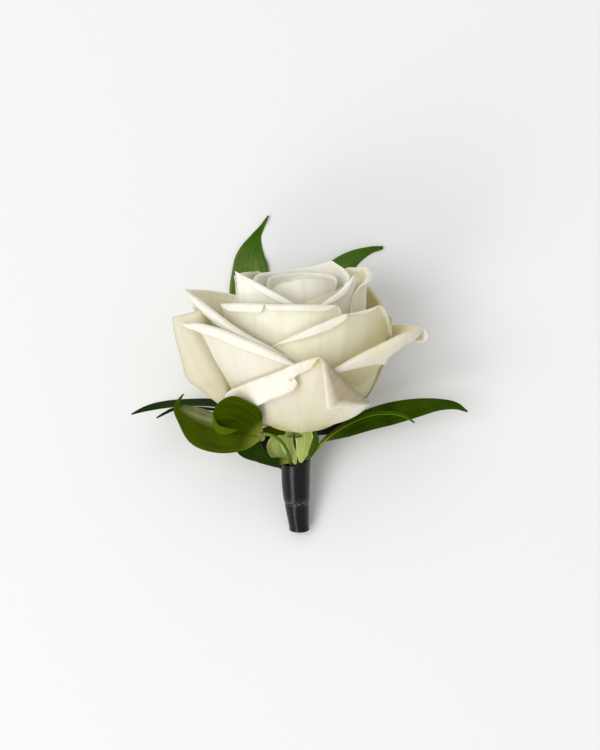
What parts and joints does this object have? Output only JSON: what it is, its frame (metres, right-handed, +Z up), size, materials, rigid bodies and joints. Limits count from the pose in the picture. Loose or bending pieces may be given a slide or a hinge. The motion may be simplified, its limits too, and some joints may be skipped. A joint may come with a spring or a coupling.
{
  "type": "boutonniere",
  "caption": "White rose buttonhole flower with pointed ruscus leaves, its short stem wound in black satin ribbon, lying on its back.",
  "frame": {"origin": "middle of the bounding box in X and Y, at the table the flower lies on", "axes": "+Z up from the table, out of the flower's face; +Y from the stem end to the top leaves; +X to the right across the bloom"},
  "size_m": [0.1018, 0.1005, 0.0577],
  "materials": {
    "petals": "soft matt petal",
    "rose_green": "pale green, matt",
    "leaves": "dark green, waxy",
    "ribbon": "black satin"
  },
  "bodies": {
    "root": {"rose_bloom": "petals", "rose_stem": "rose_green", "ruscus_sprig_back": "leaves", "ruscus_sprig_left": "leaves", "ruscus_sprig_right": "leaves", "ribbon_wrap": "ribbon", "ribbon_tail": "ribbon"}
  },
  "joints": []
}
